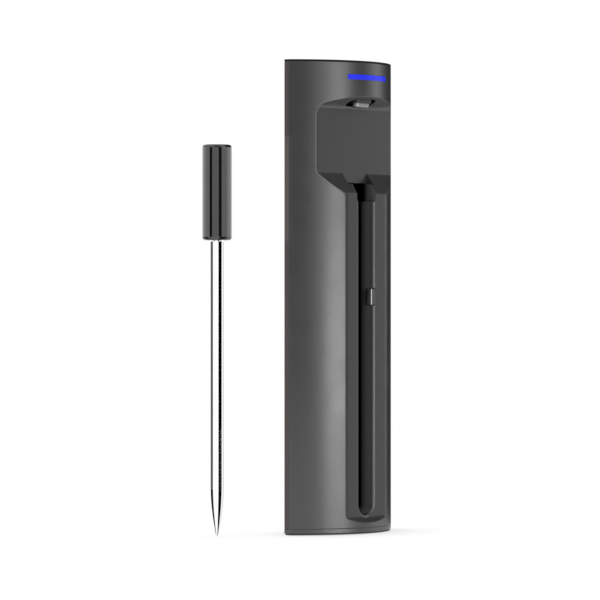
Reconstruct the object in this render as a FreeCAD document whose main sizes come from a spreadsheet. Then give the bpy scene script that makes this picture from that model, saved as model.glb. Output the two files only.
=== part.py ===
"""Wireless meat thermometer: a probe that stands beside its upright charging case.

Frame: millimetres, +Z up. The origin is the centre of the case's foot, the case's front faces -Y,
and the probe stands on its tip at the left of the case and a little behind it.
"""
import FreeCAD, Part
import math
import os

import Sketcher

Vector = FreeCAD.Vector
doc = FreeCAD.newDocument("meat_thermometer")
sheet = doc.addObject("Spreadsheet::Sheet", "sizes")

# Driving dimensions. Depths are Y values: the front apex of the crown has the lowest Y.
SIZES = {
    # outside of the case
    "case_height": 158.2, "case_depth": 15.7, "crown_radius": 33.3, "cover_thick": 2.0,
    "wall": 1.4, "cap_thick": 1.4, "foot_thick": 0.5, "fit_gap": 0.1,
    # recess in the front: handle pocket, ramp and channel
    "pocket_floor": -0.9, "pocket_low": 120.8, "pocket_high": 143.1, "ceiling_slope": 25.0,
    "land_depth": -6.0, "ramp_low": 113.9, "channel_low": 5.4, "channel_half": 11.1,
    "pocket_half": 20.6, "pocket_corner": 8.0, "channel_corner": 3.6,
    "groove_radius": 3.95, "groove_low": 6.0, "rim_round": 1.0, "cove": 1.2,
    # seat for the lower end of the handle: round below, square where it opens through the ramp
    "seat_radius": 5.05, "seat_low": 111.4, "notch_half": 6.7, "notch_low": 117.4,
    "seat_high": 121.5,
    # light bar, with the board and lamps behind it
    "bar_half": 10.3, "bar_height": 1.6, "bar_middle": 152.7, "light_board_half": 12.0,
    "lamp_pitch": 5.0, "lamp_half": 0.8,
    # sprung contact in the pocket's ceiling
    "plunger_depth": -3.4, "plunger_low": 142.7, "plunger_radius": 1.5, "plunger_half": 3.9,
    "collar_rise": 1.5, "well_half": 6.5, "well_radius": 2.5, "well_high": 150.4,
    "flange_radius": 1.85, "flange_half": 4.25, "spring_radius": 0.85,
    "spring_turns": 2.6, "spring_pitch": 0.56, "spring_wire": 0.1, "spring_x": 2.3,
    # stem contact in the groove's right wall, and its holder
    "leaf_middle": 79.25, "leaf_height": 5.3, "leaf_thick": 0.3, "leaf_root": 7.6,
    # probe
    "probe_x": -44.7, "probe_y": 22.1, "probe_length": 129.6, "handle_length": 31.7,
    "handle_radius": 4.95, "stem_radius": 2.4, "tip_length": 17.0, "tip_blunt": 0.3, "stem_wall": 0.35,
    "sleeve_wall": 1.1, "button_radius": 2.6, "bush_thick": 0.7, "bead_radius": 0.85, "bead_length": 3.0,
    # covers, caps, foot and grip pad
    "top_thick": 0.6, "foot_inset": 0.3, "pad_half": 23.0, "pad_low": 8.0, "pad_high": 151.5,
    "pad_thick": 0.6,
    # screws, posts and magnets
    "post_radius": 2.2, "screw_radius": 0.8, "head_radius": 1.6, "head_thick": 0.9,
    "cover_screw_x": 18.5, "cover_screw_low": 11.0, "cover_screw_high": 148.5,
    "board_screw_x": 16.0, "board_screw_low": 66.0, "board_screw_high": 109.0,
    "magnet_x": 13.0, "magnet_low": 76.0, "magnet_high": 130.0, "magnet_radius": 5.0, "magnet_thick": 1.4,
    # board, cell and charging port
    "board_half": 19.0, "board_low": 63.0, "board_high": 112.0, "board_front": 0.8, "board_thick": 1.0,
    "cell_half": 15.0, "cell_low": 16.0, "cell_high": 59.0, "cell_front": 0.7, "cell_back": 5.2,
    "port_half": 4.5, "port_radius": 1.6, "port_depth": 2.9, "port_wall": 0.3,
}
for row, (alias, size) in enumerate(SIZES.items(), start=1):
    sheet.set(f"A{row}", alias)
    sheet.set(f"B{row}", str(size))
    sheet.setAlias(f"B{row}", alias)
doc.recompute()

NODES = []          # every finished sub-part, in the order it is made


def formula(text):
    """Prefix every alias in a formula with the name of the sheet."""
    out = []
    word = ""
    for char in str(text) + " ":
        if char.isalnum() or char in "_.":
            word += char
            continue
        out.append("sizes." + word if word in SIZES else word)
        out.append(char)
        word = ""
    return "".join(out)[:-1]


def value(text):
    """The number that a formula over the sizes stands for."""
    return float(sheet.evalExpression(formula(text).replace("sizes.", "")))


def bind(obj, **expressions):
    """Bind properties to formulas; a double underscore in a name stands for a dot."""
    for prop, text in expressions.items():
        obj.setExpression(prop.replace("__", "."), formula(text))
    return obj


def place(obj, x, y, z, axis=None, angle=0.0):
    """Bind an object's position to formulas, after an optional fixed turn."""
    if axis is not None:
        obj.Placement = FreeCAD.Placement(Vector(0, 0, 0), FreeCAD.Rotation(Vector(*axis), angle))
    return bind(obj, Placement__Base__x=x, Placement__Base__y=y, Placement__Base__z=z)


def span(pair):
    """The formula for the length of a (low, high) pair."""
    return f"({pair[1]}) - ({pair[0]})"


def box(name, x, y, z):
    """A box whose x, y and z are each a pair of formulas, low and high."""
    obj = doc.addObject("Part::Box", name)
    bind(obj, Length=span(x), Width=span(y), Height=span(z))
    return place(obj, x[0], y[0], z[0])


def cylinder(name, radius, x, y, z):
    """An upright cylinder on (x, y) over the pair z."""
    obj = doc.addObject("Part::Cylinder", name)
    bind(obj, Radius=radius, Height=span(z))
    return place(obj, x, y, z[0])


def rod(name, radius, x, y, z):
    """A cylinder that lies along Y over the pair y."""
    obj = doc.addObject("Part::Cylinder", name)
    bind(obj, Radius=radius, Height=span(y))
    return place(obj, x, y[0], z, axis=(1, 0, 0), angle=-90)


def sphere(name, radius, x, y, z):
    obj = doc.addObject("Part::Sphere", name)
    bind(obj, Radius=radius)
    return place(obj, x, y, z)


def torus(name, ring_radius, wire_radius, x, y, z):
    obj = doc.addObject("Part::Torus", name)
    bind(obj, Radius1=ring_radius, Radius2=wire_radius)
    return place(obj, x, y, z)


def joined(kind, name, parts):
    obj = doc.addObject(kind, name)
    if kind == "Part::Compound":
        obj.Links = parts
    else:
        obj.Shapes = parts
    return obj


def fuse(name, *parts):
    return joined("Part::MultiFuse", name, list(parts))


def common(name, *parts):
    return joined("Part::MultiCommon", name, list(parts))


def group(name, parts):
    """Several separate solids that share one node."""
    return joined("Part::Compound", name, parts)


def cut(name, base, *tools):
    obj = doc.addObject("Part::Cut", name)
    obj.Base = base
    obj.Tool = tools[0] if len(tools) == 1 else fuse(name + "_tools", *tools)
    return obj


def node(obj, label):
    """Register a finished sub-part under the label that names its file."""
    obj.Label = label
    NODES.append(obj)
    return obj


def slot_block(name, half, radius, x, y, z):
    """An upright block with round ends along X: half its length, and its end radius."""
    left = cylinder(name + "_left", radius, f"({x}) - ({half}) + ({radius})", y, z)
    right = cylinder(name + "_right", radius, f"({x}) + ({half}) - ({radius})", y, z)
    middle = box(name + "_middle", (f"({x}) - ({half}) + ({radius})", f"({x}) + ({half}) - ({radius})"),
                 (f"({y}) - ({radius})", f"({y}) + ({radius})"), z)
    return fuse(name, left, middle, right)


def rounded(name, base, radius, wanted):
    """Round the edges of base that the test wanted picks by their end points."""
    doc.recompute()
    edges = []
    for number, edge in enumerate(base.Shape.Edges, start=1):
        if wanted([vertex.Point for vertex in edge.Vertexes]):
            edges.append((number, value(radius), value(radius)))
    obj = doc.addObject("Part::Fillet", name)
    obj.Base = base
    obj.Edges = edges
    return obj


def along(axis, points):
    """True for an edge that runs along one main axis, 0, 1 or 2."""
    if len(points) != 2:
        return False
    step = points[1] - points[0]
    return all(abs(step[other]) < 1e-6 for other in range(3) if other != axis)


PLANES = {
    "XY": FreeCAD.Rotation(),
    "XZ": FreeCAD.Rotation(Vector(1, 0, 0), 90),
    "YZ": FreeCAD.Rotation(Vector(1, 1, 1), 120),
}


def side_curve(start, end, radius):
    """A straight side, or the shallow counterclockwise arc of this radius between two corners."""
    if radius is None:
        return Part.LineSegment(start, end)
    reach = value(radius)
    chord = end - start
    left = Vector(-chord.y, chord.x, 0).normalize()
    centre = (start + end) * 0.5 + left * math.sqrt(reach ** 2 - (chord.Length / 2) ** 2)
    first = math.atan2(start.y - centre.y, start.x - centre.x)
    last = math.atan2(end.y - centre.y, end.x - centre.x)
    return Part.ArcOfCircle(Part.Circle(centre, Vector(0, 0, 1), reach), first, last)


def outline(name, plane, points, round_sides=()):
    """A closed sketch whose corners are bound to formulas.

    The corners run counterclockwise. round_sides holds pairs of a side's number and the radius of
    the outward arc that replaces its straight line.
    """
    sketch = doc.addObject("Sketcher::SketchObject", name)
    sketch.Placement = FreeCAD.Placement(Vector(0, 0, 0), PLANES[plane])
    corners = [Vector(value(across), value(up), 0) for across, up in points]
    arcs = dict(round_sides)
    sides = []
    for number, start in enumerate(corners):
        end = corners[(number + 1) % len(corners)]
        sides.append(sketch.addGeometry(side_curve(start, end, arcs.get(number)), False))
    for number, (across, up) in enumerate(points):
        following = sides[(number + 1) % len(sides)]
        sketch.addConstraint(Sketcher.Constraint("Coincident", sides[number], 2, following, 1))
        for kind, text in (("DistanceX", across), ("DistanceY", up)):
            constraint = Sketcher.Constraint(kind, -1, 1, sides[number], 1, value(text))
            sketch.setExpression(f"Constraints[{sketch.addConstraint(constraint)}]", formula(text))
        if number in arcs:
            constraint = Sketcher.Constraint("Radius", sides[number], value(arcs[number]))
            sketch.setExpression(f"Constraints[{sketch.addConstraint(constraint)}]", formula(arcs[number]))
    return sketch


def extrude(name, sketch, direction, low, high):
    """Extrude a sketch along a direction between two formulas, measured from its plane."""
    obj = doc.addObject("Part::Extrusion", name)
    obj.Base = sketch
    obj.DirMode = "Custom"
    obj.Dir = Vector(*direction)
    obj.Solid = True
    return bind(obj, LengthFwd=high, LengthRev=f"0 - ({low})")


def revolve(name, sketch, x="probe_x", y="probe_y"):
    """Turn an XZ outline all the way round an upright axis."""
    obj = doc.addObject("Part::Revolution", name)
    obj.Source = sketch
    obj.Axis = Vector(0, 0, 1)
    obj.Angle = 360
    obj.Solid = True
    return place(obj, x, y, "0")


# Formulas that several sub-parts share.
FRONT = "(0 - case_depth / 2)"                       # apex of the crown
BACK = "(case_depth / 2)"                            # outer face of the back cover
COVER_FACE = "(case_depth / 2 - cover_thick)"        # where the cover meets the housing
CROWN_AXIS = "(crown_radius - case_depth / 2)"
HALF_WIDTH = "sqrt(crown_radius ^ 2 - (crown_radius - case_depth + cover_thick) ^ 2)"
SHELL_LOW = "(foot_thick + cap_thick)"
SHELL_HIGH = "(case_height - top_thick)"
WELL = ("0", "plunger_depth")


def crown_slab(name, inset, back, z):
    """The case's outline pulled in by inset: the crown's arc in front, flat at the formula back."""
    arc = cylinder(name + "_arc", f"crown_radius - ({inset})", "0", CROWN_AXIS, z)
    front = box(name + "_front", (f"0 - {HALF_WIDTH} + ({inset})", f"{HALF_WIDTH} - ({inset})"),
                (f"{FRONT} - 1", COVER_FACE), z)
    crown = common(name + "_crown", arc, front)
    if back == COVER_FACE:
        return crown
    rear = box(name + "_rear", (f"0 - {HALF_WIDTH} + ({inset})", f"{HALF_WIDTH} - ({inset})"),
               (COVER_FACE, back), z)
    return fuse(name, crown, rear)


def recess(name, skin):
    """The hollow of the front, grown by skin: pocket, ramp, channel, groove and contact well."""
    rise = "tan(ceiling_slope)"
    lift = f"({skin}) / cos(ceiling_slope)"
    reach = "(case_depth / 2 + 3)"                   # how far in front of the origin the tool starts
    bend = f"({skin}) * tan(22.5)"                   # shift of a corner between a wall and a 45 degree slope
    slant = f"({skin}) * sqrt(2)"
    ramp_lean = "atan((pocket_floor - land_depth) / (pocket_low - ramp_low))"
    ramp_bend = f"({skin}) * tan({ramp_lean} / 2)"   # the same shift for the ramp, which is steeper
    points = [
        (f"0 - {reach}", f"channel_low - land_depth - {reach} - {slant}"),
        (f"land_depth + ({skin})", f"channel_low - {bend}"),
        (f"land_depth + ({skin})", f"ramp_low - {ramp_bend}"),
        (f"pocket_floor + ({skin})", f"pocket_low - {ramp_bend}"),
        (f"pocket_floor + ({skin})", f"pocket_high + {lift} - ({skin}) * {rise} - cove * 0.6"),
        (f"pocket_floor + ({skin}) - cove", f"pocket_high + {lift} - (({skin}) - cove) * {rise}"),
        (f"0 - {reach}", f"pocket_high + {lift} + (pocket_floor + {reach}) * {rise}"),
    ]
    profile = outline(name + "_profile", "YZ", points)
    depth = extrude(name + "_depth", profile, (1, 0, 0), "0 - crown_radius", "crown_radius")
    across = (f"0 - {reach}", BACK)
    pocket = box(name + "_pocket", (f"0 - pocket_half - ({skin})", f"pocket_half + ({skin})"), across,
                 ("ramp_low - 3", f"pocket_high + 3.4 + ({skin})"))
    top = value(f"pocket_high + 3.4 + ({skin})")
    pocket = rounded(name + "_pocket_round", pocket, f"pocket_corner + ({skin})",
                     lambda ends: along(1, ends) and abs(ends[0].z - top) < 1e-6)
    channel = box(name + "_channel", (f"0 - channel_half - ({skin})", f"channel_half + ({skin})"), across,
                  (f"channel_low - 2.2 - ({skin})", "pocket_low"))
    foot = value(f"channel_low - 2.2 - ({skin})")
    channel = rounded(name + "_channel_round", channel, f"channel_corner + ({skin})",
                      lambda ends: along(1, ends) and abs(ends[0].z - foot) < 1e-6)
    hollow = common(name + "_hollow", depth, fuse(name + "_window", pocket, channel))
    groove_end = "groove_low + groove_radius"
    groove = cylinder(name + "_groove", f"groove_radius + ({skin})", "0", "land_depth",
                      (groove_end, "seat_high"))
    groove_foot = sphere(name + "_groove_foot", f"groove_radius + ({skin})", "0", "land_depth", groove_end)
    seat = cylinder(name + "_seat", f"seat_radius + ({skin})", "0", "land_depth",
                    (f"seat_low - ({skin})", "seat_high"))
    notch = box(name + "_notch", (f"0 - notch_half - ({skin})", f"notch_half + ({skin})"),
                (f"0 - {reach}", f"pocket_floor + ({skin})"), (f"notch_low - ({skin})", "seat_high"))
    well = slot_block(name + "_well", f"well_half + ({skin})", f"well_radius + ({skin})", *WELL,
                      ("pocket_high - 1.5", f"well_high + ({skin})"))
    return fuse(name, hollow, groove, groove_foot, seat, notch, well)


def rim_rounding(name):
    """Tool that rounds the groove's long rims, and the rim round its lower end, to rim_round."""
    centre_x = "sqrt((groove_radius + rim_round) ^ 2 - rim_round ^ 2)"
    depth = ("land_depth - 1", "land_depth + rim_round * groove_radius / (groove_radius + rim_round)")
    end = "(groove_low + groove_radius)"
    z = (end, "seat_low + 1")
    straight = box(name + "_straight", (f"0 - {centre_x}", centre_x), depth, z)
    sides = []
    for side, x in (("left", f"0 - {centre_x}"), ("right", centre_x)):
        sides.append(cylinder(f"{name}_{side}", "rim_round", x, "land_depth + rim_round",
                              (f"{end} - 1", "seat_low + 2")))
    disc = rod(name + "_disc", centre_x, "0", depth, end)
    ring = torus(name + "_ring", centre_x, "rim_round", "0", "land_depth + rim_round", end)
    ring.Placement = FreeCAD.Placement(ring.Placement.Base, FreeCAD.Rotation(Vector(1, 0, 0), 90))
    lower = box(name + "_lower", ("0 - 10", "10"), ("0 - 10", "0"), (f"{end} - 8", end))
    long_rims = cut(name + "_long", straight, *sides)
    end_rim = common(name + "_end", cut(name + "_dish", disc, ring), lower)
    return fuse(name, long_rims, end_rim)


def bosses(name, radius, spots, y):
    return [rod(f"{name}_{number}", radius, x, y, z) for number, (x, z) in enumerate(spots, start=1)]


def four_spots(name):
    """The four places of a screw or magnet set, mirrored left and right, as (x, z) formulas."""
    return [(x, z) for x in (f"0 - {name}_x", f"{name}_x") for z in (f"{name}_low", f"{name}_high")]


COVER_SPOTS = four_spots("cover_screw")
BOARD_SPOTS = four_spots("board_screw")
MAGNET_SPOTS = four_spots("magnet")


def make_housing():
    """The moulded front: a thin crown with the recess formed in it, open at the back and both ends."""
    height = (SHELL_LOW, SHELL_HIGH)
    block = crown_slab("housing_block", "0", COVER_FACE, height)
    cavity_arc = cylinder("cavity_arc", "crown_radius - wall", "0", CROWN_AXIS, ("0", "case_height"))
    cavity_back = box("cavity_back", ("0 - crown_radius", "crown_radius"), (FRONT, BACK),
                      ("0", "case_height"))
    cavity = common("cavity", cavity_arc, cavity_back)
    posts = bosses("cover_post", "post_radius", COVER_SPOTS, ("0 - 7", COVER_FACE))
    posts += bosses("board_post", "post_radius", BOARD_SPOTS, ("0 - 7", "board_front"))
    room = cut("cavity_room", cavity, recess("recess_skin", "wall"), *posts)
    shell = cut("housing_shell", block, room)
    holes = bosses("cover_pilot", "screw_radius + 0.03", COVER_SPOTS, (f"{COVER_FACE} - 4.6", BACK))
    holes += bosses("board_pilot", "screw_radius + 0.03", BOARD_SPOTS, ("board_front - 2.6", BACK))
    bar_reach = "(bar_half + fit_gap / 2)"
    bar_rise = "(bar_height / 2 + fit_gap / 2)"
    bar_slot = box("bar_slot", (f"0 - {bar_reach}", bar_reach), (f"{FRONT} - 2", "0 - 3.2"),
                   (f"bar_middle - {bar_rise}", f"bar_middle + {bar_rise}"))
    window = box("leaf_window", ("3.2", "8.3"), ("land_depth + 0.5", "0 - 2.4"),
                 ("leaf_middle - leaf_height / 2 - 0.3", "leaf_middle + leaf_height / 2 + 0.3"))
    tools = [recess("recess", "0"), rim_rounding("rims"), bar_slot, window]
    return node(cut("housing", shell, *tools, *holes), "front_housing")


def make_covers():
    """Back cover with its grip pad, the two end caps and the rubber foot."""
    height = (SHELL_LOW, SHELL_HIGH)
    side = (f"0 - {HALF_WIDTH}", HALF_WIDTH)
    plate = box("cover_plate", side, (COVER_FACE, BACK), height)
    pad_room = box("pad_room", ("0 - pad_half", "pad_half"), (f"{BACK} - pad_thick", f"{BACK} + 1"),
                   ("pad_low", "pad_high"))
    heads = bosses("cover_head_room", "head_radius + fit_gap", COVER_SPOTS,
                   (f"{BACK} - pad_thick - head_thick - 0.05", BACK))
    shanks = bosses("cover_shank_room", "screw_radius + 0.15", COVER_SPOTS, (f"{COVER_FACE} - 1", BACK))
    rings = bosses("magnet_ring", "magnet_radius + 1", MAGNET_SPOTS, (f"{COVER_FACE} - 1.2", COVER_FACE))
    cups = bosses("magnet_cup", "magnet_radius + fit_gap", MAGNET_SPOTS, (f"{COVER_FACE} - 2", COVER_FACE))
    cover = cut("cover_body", fuse("cover_with_rings", plate, *rings), pad_room, *heads, *shanks, *cups)
    node(cover, "back_cover")
    pad = box("grip_pad", ("0 - pad_half + fit_gap", "pad_half - fit_gap"), (f"{BACK} - pad_thick", BACK),
              ("pad_low + fit_gap", "pad_high - fit_gap"))
    corner = rounded("grip_pad_round", pad, "2", lambda ends: along(1, ends))
    node(corner, "back_grip_pad")
    node(crown_slab("top_cap", "0", BACK, (SHELL_HIGH, "case_height")), "top_end_cap")
    port = slot_block("port_room", "port_half + 0.15", "port_radius + 0.15", "0", "port_depth",
                      ("0 - 1", "8.5"))
    lower = crown_slab("bottom_cap", "0", BACK, ("foot_thick", SHELL_LOW))
    node(cut("bottom_cap_body", lower, port), "bottom_end_cap")
    foot = crown_slab("foot", "foot_inset", f"({BACK} - foot_inset)", ("0", "foot_thick"))
    foot_port = slot_block("foot_port_room", "port_half + 0.6", "port_radius + 0.6", "0", "port_depth",
                           ("0 - 1", "1"))
    node(cut("foot_body", foot, foot_port), "base_foot_pad")


def make_light():
    """The status light: a clear bar flush with the crown, its board and four lamps behind it."""
    z = ("bar_middle - bar_height / 2", "bar_middle + bar_height / 2")
    arc = cylinder("bar_arc", "crown_radius", "0", CROWN_AXIS, z)
    block = box("bar_block", ("0 - bar_half", "bar_half"), (f"{FRONT} - 1", f"{FRONT} + 3.4"), z)
    node(common("bar", arc, block), "led_light_bar")
    board = box("bar_board", ("0 - light_board_half", "light_board_half"), ("0 - 3", "0 - 2.2"),
                ("bar_middle - 0.9", "bar_middle + 3.5"))
    node(board, "led_board")
    lamps = []
    for number in range(4):
        x = f"({number} - 1.5) * lamp_pitch"
        lamps.append(box(f"lamp_{number + 1}", (f"{x} - lamp_half", f"{x} + lamp_half"), ("0 - 4", "0 - 3"),
                         ("bar_middle - 0.6", "bar_middle + 0.6")))
    node(group("lamps", lamps), "led_lamps")
    points = [("0 - 2.15", "bar_middle + 2.6"), ("0 - 2.15", "bar_middle - 0.6"), ("1.9", "149.5"),
              ("1.9", "board_high - 8"), ("2.1", "board_high - 8"), ("2.1", "149.6"),
              ("0 - 1.95", "bar_middle - 0.5"), ("0 - 1.95", "bar_middle + 2.6")]
    strip = outline("flex_outline", "YZ", points)
    node(extrude("flex", strip, (1, 0, 0), "9.5", "14"), "led_flex_cable")


def make_spring(name, x):
    """One flat-wire spring that stands on the plunger's flange."""
    helix = doc.addObject("Part::Helix", name + "_path")
    bind(helix, Pitch="spring_pitch", Height="spring_turns * spring_pitch", Radius="spring_radius")
    inner = "spring_radius - spring_wire"
    outer = "spring_radius + spring_wire"
    wire = outline(name + "_wire", "XZ", [
        (inner, "0 - spring_wire"), (outer, "0 - spring_wire"),
        (outer, "spring_wire"), (inner, "spring_wire")])
    coil = doc.addObject("Part::Sweep", name)
    coil.Sections = [wire]
    coil.Spine = (helix, [])
    coil.Solid = True
    coil.Frenet = True
    return place(coil, x, "plunger_depth", "plunger_low + 5.37")


def make_socket_contact():
    """The sprung contact in the ceiling of the pocket that meets the top of the probe's handle."""
    block = slot_block("socket_block", "well_half - fit_gap", "well_radius - fit_gap", *WELL,
                       ("plunger_low + 3.8", "well_high"))
    bore = slot_block("socket_bore", "flange_half + 0.15", "flange_radius + 0.15", *WELL,
                      ("plunger_low + 4.7", "well_high - 0.4"))
    mouth = slot_block("socket_mouth", "plunger_half + 0.08", "plunger_radius + 0.08", *WELL,
                       ("plunger_low", "plunger_low + 4.8"))
    collar = slot_block("socket_collar", "plunger_half + 0.7", "plunger_radius + 0.7", *WELL,
                        ("plunger_low + collar_rise", "plunger_low + 3.9"))
    node(cut("socket_body", fuse("socket_block_collar", block, collar), bore, mouth), "socket_contact_holder")
    pin = slot_block("plunger_pin", "plunger_half", "plunger_radius", *WELL,
                     ("plunger_low", "plunger_low + 5.2"))
    low = value("plunger_low")
    nose = rounded("plunger_nose", pin, "0.9", lambda ends: all(abs(end.z - low) < 1e-6 for end in ends))
    flange = slot_block("plunger_flange", "flange_half", "flange_radius", *WELL,
                        ("plunger_low + 4.75", "plunger_low + 5.25"))
    node(fuse("plunger", nose, flange), "socket_plunger")
    coils = [make_spring("spring_left", "0 - spring_x"), make_spring("spring_right", "spring_x")]
    node(group("springs", coils), "socket_springs")


def make_stem_contact():
    """The bent leaf that presses on the stem at half height, and the block that holds its root."""
    z = ("leaf_middle - leaf_height / 2", "leaf_middle + leaf_height / 2")
    crest = "(stem_radius - 0.2)"
    points = [(crest, "land_depth - 0.3"), (f"{crest} + leaf_thick", "land_depth - 0.3"),
              (f"{crest} + leaf_thick", "land_depth + 1.25"), ("3.9", "0 - 3.75"),
              ("leaf_root + leaf_thick", "0 - 3.15"), ("leaf_root + leaf_thick", "0 - 0.8"),
              ("leaf_root", "0 - 0.8"), ("leaf_root", "0 - 2.85"), ("3.75", "0 - 3.45"),
              (crest, "land_depth + 1.35")]
    strip = outline("leaf_outline", "XY", points)
    node(extrude("leaf", strip, (0, 0, 1), *z), "stem_contact")
    block = box("leaf_block", ("leaf_root - 0.7", "leaf_root + 2.8"), ("0 - 2.2", "board_front - 0.05"),
                ("leaf_middle - 5", "leaf_middle + 5"))
    room = box("leaf_room", ("leaf_root - 0.3", "leaf_root + 1"), ("0 - 3", "0 - 0.5"),
               ("leaf_middle - leaf_height / 2 - 0.2", "leaf_middle + leaf_height / 2 + 0.2"))
    node(cut("leaf_holder", block, room), "stem_contact_holder")


def make_electronics():
    """Main board, radio, chips, cell, charging port and what joins and fixes them."""
    board_back = "(board_front + board_thick)"
    board = box("board", ("0 - board_half", "board_half"), ("board_front", board_back),
                ("board_low", "board_high"))
    rooms = bosses("board_screw_room", "screw_radius + 0.15", BOARD_SPOTS,
                   ("board_front - 1", f"{board_back} + 1"))
    node(cut("board_body", board, *rooms), "main_board")
    radio = box("radio_can", ("0 - 6.5", "6.5"), (board_back, f"{board_back} + 2"),
                ("board_high - 20", "board_high - 5"))
    node(radio, "radio_module")
    antenna = box("antenna_chip", ("0 - 3.5", "3.5"), (board_back, f"{board_back} + 1.1"),
                  ("board_high - 3.5", "board_high - 1.5"))
    node(antenna, "radio_antenna")
    chips = []
    # x, height above the board's lower edge, width, height and thickness of each chip
    chip_sizes = [("0 - 6", 5.0, 5.0, 5.0, 0.9), ("4", 7.0, 4.0, 4.0, 0.9), ("0 - 1", 17.0, 7.0, 7.0, 1.2),
                  ("6", 21.0, 3.0, 2.5, 1.6)]
    for number, (x, rise, wide, tall, thick) in enumerate(chip_sizes, start=1):
        chips.append(box(f"chip_{number}", (f"{x} - {wide / 2}", f"{x} + {wide / 2}"),
                         (board_back, f"{board_back} + {thick}"),
                         (f"board_low + {rise - tall / 2}", f"board_low + {rise + tall / 2}")))
    node(group("chips", chips), "board_chips")
    make_screws("board", BOARD_SPOTS, "board_front - 2.2", board_back)
    make_screws("cover", COVER_SPOTS, f"{COVER_FACE} - 4.2", f"({BACK} - pad_thick - head_thick - 0.05)")
    magnets = bosses("magnet", "magnet_radius", MAGNET_SPOTS, (f"{COVER_FACE} - magnet_thick", COVER_FACE))
    node(group("magnet_set", magnets), "back_magnets")
    cell = box("cell", ("0 - cell_half", "cell_half"), ("cell_front", "cell_back"), ("cell_low", "cell_high"))
    node(rounded("cell_round", cell, "1.6", lambda ends: along(2, ends)), "battery_cell")
    tape = box("cell_tape", ("3 - cell_half", "cell_half - 3"), ("cell_back", COVER_FACE),
               ("cell_low + 4", "cell_high - 4"))
    node(tape, "battery_tape")
    leads = []
    for number, x in enumerate(("0 - 12", "0 - 10"), start=1):
        leads.append(cylinder(f"lead_{number}", "0.5", x, "2.9", ("cell_high", "cell_high + 4.4")))
    node(group("leads", leads), "battery_leads")
    plug = box("lead_plug", ("0 - 13.2", "0 - 8.8"), (board_back, f"{board_back} + 2.6"),
               ("cell_high + 4.4", "cell_high + 7.8"))
    node(plug, "battery_plug")


def make_screws(name, spots, tip, seat):
    """A set of pan-head screws whose shanks start at tip and whose heads sit on seat."""
    screws = []
    for number, (x, z) in enumerate(spots, start=1):
        shank = rod(f"{name}_shank_{number}", "screw_radius", x, (tip, f"{seat} + 0.4"), z)
        head = rod(f"{name}_head_{number}", "head_radius", x, (seat, f"{seat} + head_thick"), z)
        screws.append(fuse(f"{name}_screw_{number}", shank, head))
    node(group(f"{name}_screw_set", screws), f"{name}_screws")


def make_port():
    """The charging port in the foot: shell, tongue and the small board it is soldered to."""
    outer = slot_block("port_outer", "port_half", "port_radius", "0", "port_depth", ("0.7", "8"))
    inner = slot_block("port_inner", "port_half - port_wall", "port_radius - port_wall", "0", "port_depth",
                       ("0", "7.6"))
    node(cut("port_shell", outer, inner), "usb_c_shell")
    tongue = box("port_tongue", ("0 - 3.3", "3.3"), ("port_depth - 0.35", "port_depth + 0.35"),
                 ("1.6", "7.6"))
    node(tongue, "usb_c_tongue")
    board = box("port_board", ("0 - port_half * 2", "port_half * 2"),
                ("port_depth + port_radius", "port_depth + port_radius + 0.8"), ("2.4", "13"))
    node(board, "usb_c_board")


HANDLE_LOW = "(probe_length - handle_length)"
BEAD_LOW = "(tip_length / 2 - bead_length / 2)"
PROBE_SPOT = ("probe_x", "probe_y")


def make_stem():
    """The steel stem with its pointed tip, the food sensor in the tip and the ribbon to the handle."""
    inner = "stem_radius - stem_wall"
    tip_points = [("0", "0"), ("tip_blunt", "0"), ("stem_radius", "tip_length"), (inner, "tip_length"),
                  (inner, "tip_length + 4"), ("1", "tip_length + 4"), ("1", BEAD_LOW), ("0", BEAD_LOW)]
    nose = "(tip_length ^ 2 + (stem_radius - tip_blunt) ^ 2) / (2 * (stem_radius - tip_blunt))"
    node(revolve("tip", outline("tip_outline", "XZ", tip_points, [(1, nose)])), "probe_tip")
    stem_z = ("tip_length", f"{HANDLE_LOW} + 5")
    tube = cylinder("stem_tube", "stem_radius", *PROBE_SPOT, stem_z)
    bore = cylinder("stem_bore", inner, *PROBE_SPOT, stem_z)
    node(cut("stem", tube, bore), "probe_stem")
    bead = cylinder("bead", "bead_radius", *PROBE_SPOT, (BEAD_LOW, f"{BEAD_LOW} + bead_length"))
    node(bead, "food_sensor")
    ribbon = box("ribbon", ("probe_x - 0.7", "probe_x + 0.7"), ("probe_y - 0.1", "probe_y + 0.1"),
                 (f"{BEAD_LOW} + bead_length", f"{HANDLE_LOW} + 5.5"))
    node(ribbon, "sensor_ribbon")


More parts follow.
